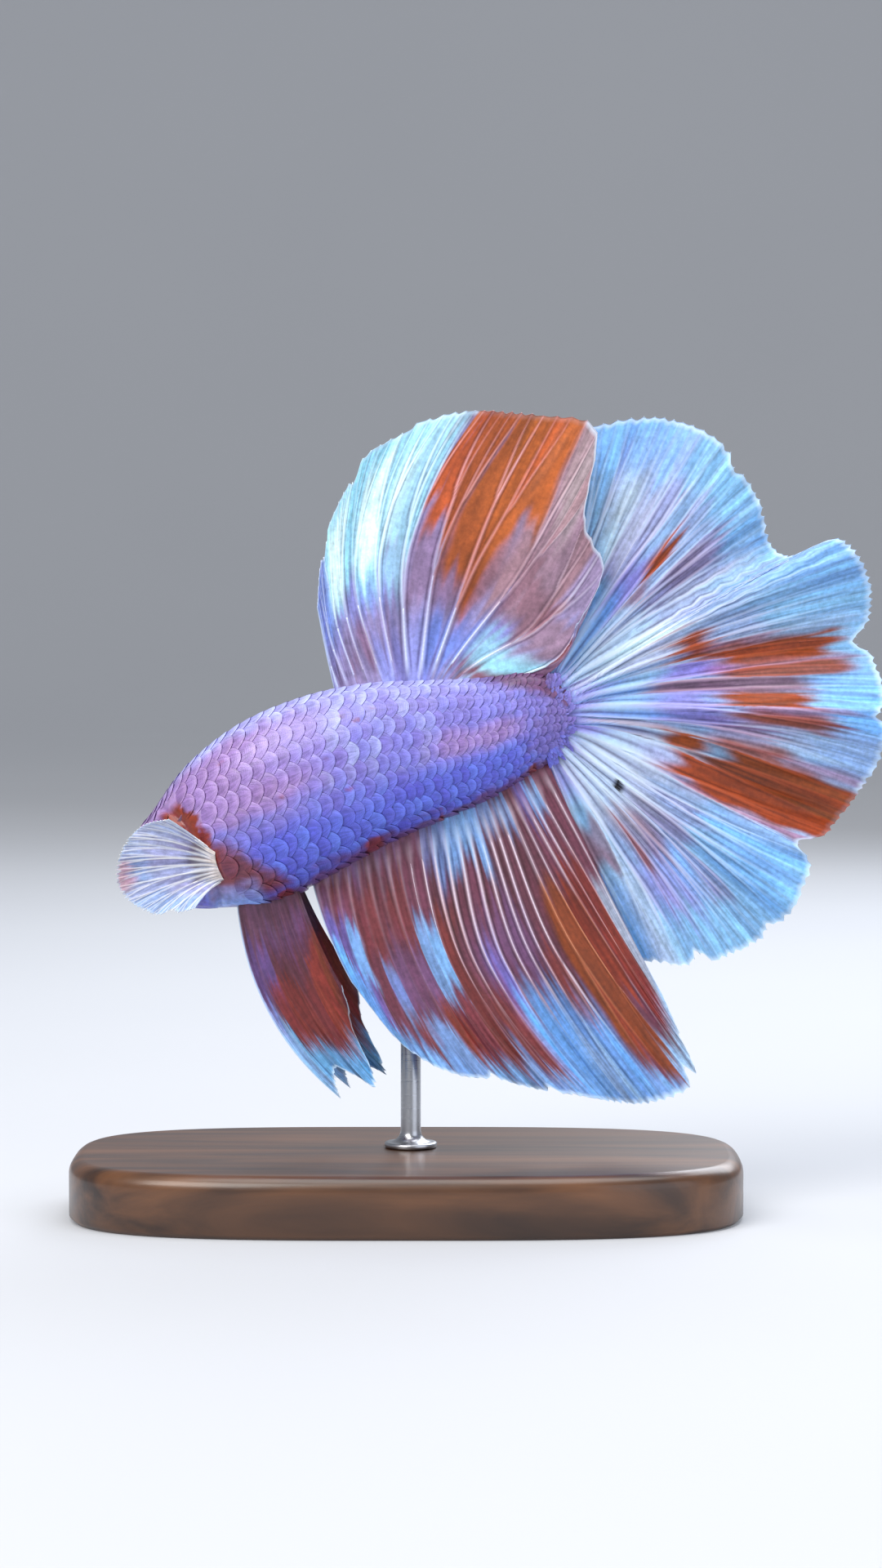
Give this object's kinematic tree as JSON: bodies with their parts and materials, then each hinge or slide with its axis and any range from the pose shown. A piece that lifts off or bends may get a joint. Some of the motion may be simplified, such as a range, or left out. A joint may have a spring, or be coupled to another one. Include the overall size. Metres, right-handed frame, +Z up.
{
  "type": "betta fish display model",
  "caption": "Life-size still model of a male betta fish with wide spread fins, head low and turned away, held by a rod on a flat oval base.",
  "frame": {"origin": "under the middle of the whole model, on the underside of the stand's base", "axes": "+Z up, the fish faces -X with its left flank to -Y"},
  "size_m": [0.081, 0.038, 0.0788],
  "materials": {
    "skin_head": "satin, wet-looking scaled skin",
    "skin_body": "satin, wet-looking scaled skin",
    "eye": "polished",
    "fin_dorsal": "thin, ribbed, partly see-through membrane",
    "fin_caudal": "thin, ribbed, partly see-through membrane",
    "fin_anal": "thin, ribbed membrane",
    "fin_pelvic": "thin, ribbed membrane",
    "fin_pectoral": "thin, clear, ribbed membrane",
    "base_wood": "satin lacquer",
    "rod_steel": "fine brushed"
  },
  "bodies": {
    "root": {"head": "skin_head", "lower_jaw": "skin_head", "gill_cover_left": "skin_head", "gill_cover_right": "skin_head", "trunk": "skin_body", "tail_stem": "skin_body", "eye_left": "eye", "eye_right": "eye", "dorsal_fin": "fin_dorsal", "caudal_fin": "fin_caudal", "anal_fin": "fin_anal", "pelvic_fin_left": "fin_pelvic", "pelvic_fin_right": "fin_pelvic", "pectoral_fin_left": "fin_pectoral", "pectoral_fin_right": "fin_pectoral", "stand_base": "base_wood", "stand_rod": "rod_steel"}
  },
  "joints": []
}
